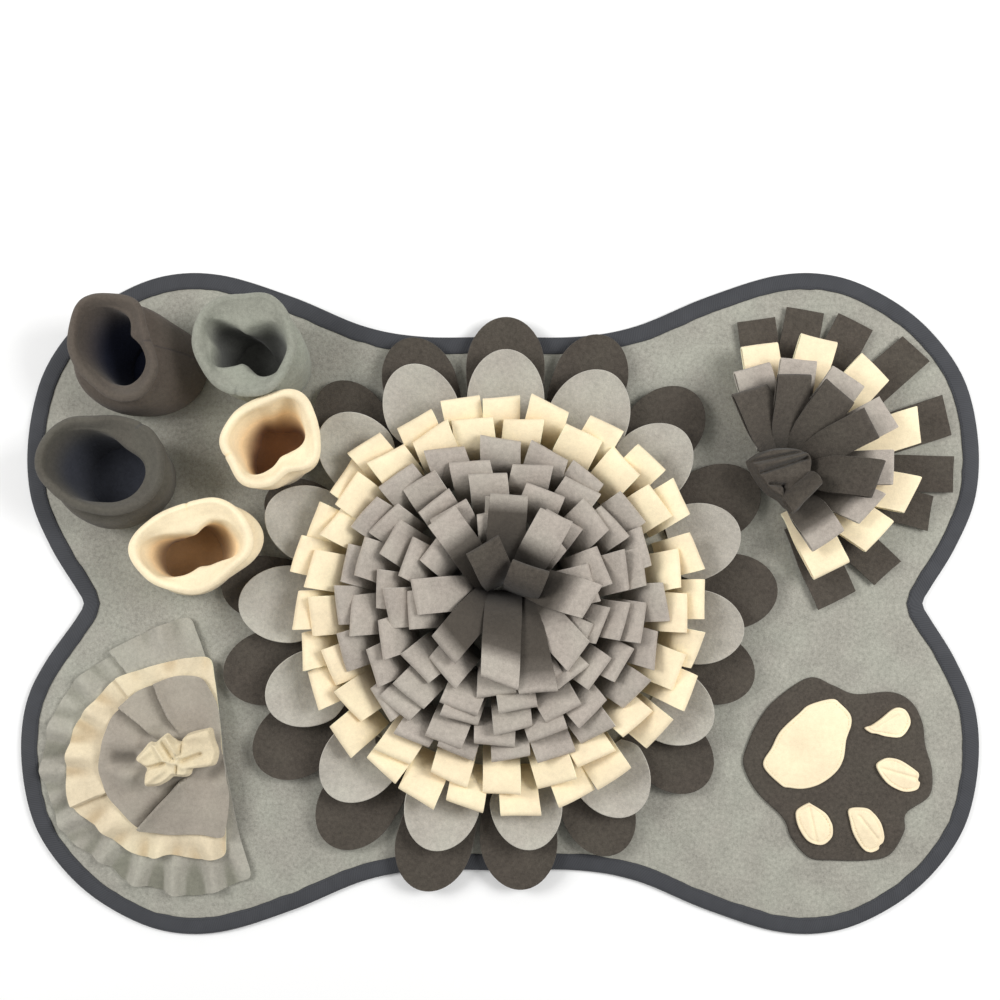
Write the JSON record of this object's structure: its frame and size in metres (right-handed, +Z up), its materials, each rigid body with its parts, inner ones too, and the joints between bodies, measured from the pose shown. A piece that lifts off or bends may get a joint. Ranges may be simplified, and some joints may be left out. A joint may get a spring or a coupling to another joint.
{
  "type": "snuffle mat",
  "caption": "Bone-shaped fleece snuffle mat with a looped flower, standing tubes, a layered ruffle, a fan of strips and a paw patch.",
  "frame": {"origin": "middle of the mat, on the surface it lies on", "axes": "+X along the mat's length towards the fan and the paw patch, +Y towards the tubes and the fan, +Z up out of the mat"},
  "size_m": [0.9972, 0.6858, 0.0885],
  "materials": {
    "mat": "short-pile grey fleece",
    "binding": "slate woven edge tape",
    "dark": "dark brown-grey fleece",
    "grey": "light grey fleece",
    "cream": "cream fleece",
    "tube_brown": "dark brown fleece",
    "tube_green": "grey-green fleece",
    "tube_dark": "dark grey fleece"
  },
  "bodies": {
    "root": {"mat": "mat", "binding": "binding", "petals_dark": "dark", "petals_grey": "grey", "loops_cream_outer": "cream", "loops_cream_inner": "cream", "loops_grey_1": "grey", "loops_grey_2": "grey", "loops_grey_3": "grey", "loops_grey_4": "grey", "loops_grey_5": "grey", "loops_dark": "dark", "centre_strips": "dark", "fan_tabs": "dark", "fan_cream": "cream", "fan_grey": "grey", "fan_dark": "dark", "ruffle_bottom": "grey", "ruffle_middle": "cream", "ruffle_top": "grey", "bow": "cream", "paw_patch": "dark", "main_pad": "cream", "toe_pad_upper": "cream", "toe_pad_right": "cream", "toe_pad_lower": "cream", "toe_pad_left": "cream", "tube_brown": "tube_brown", "tube_green": "tube_green", "tube_dark": "tube_dark", "tube_cream_tall": "cream", "tube_cream_wide": "cream"}
  },
  "joints": []
}
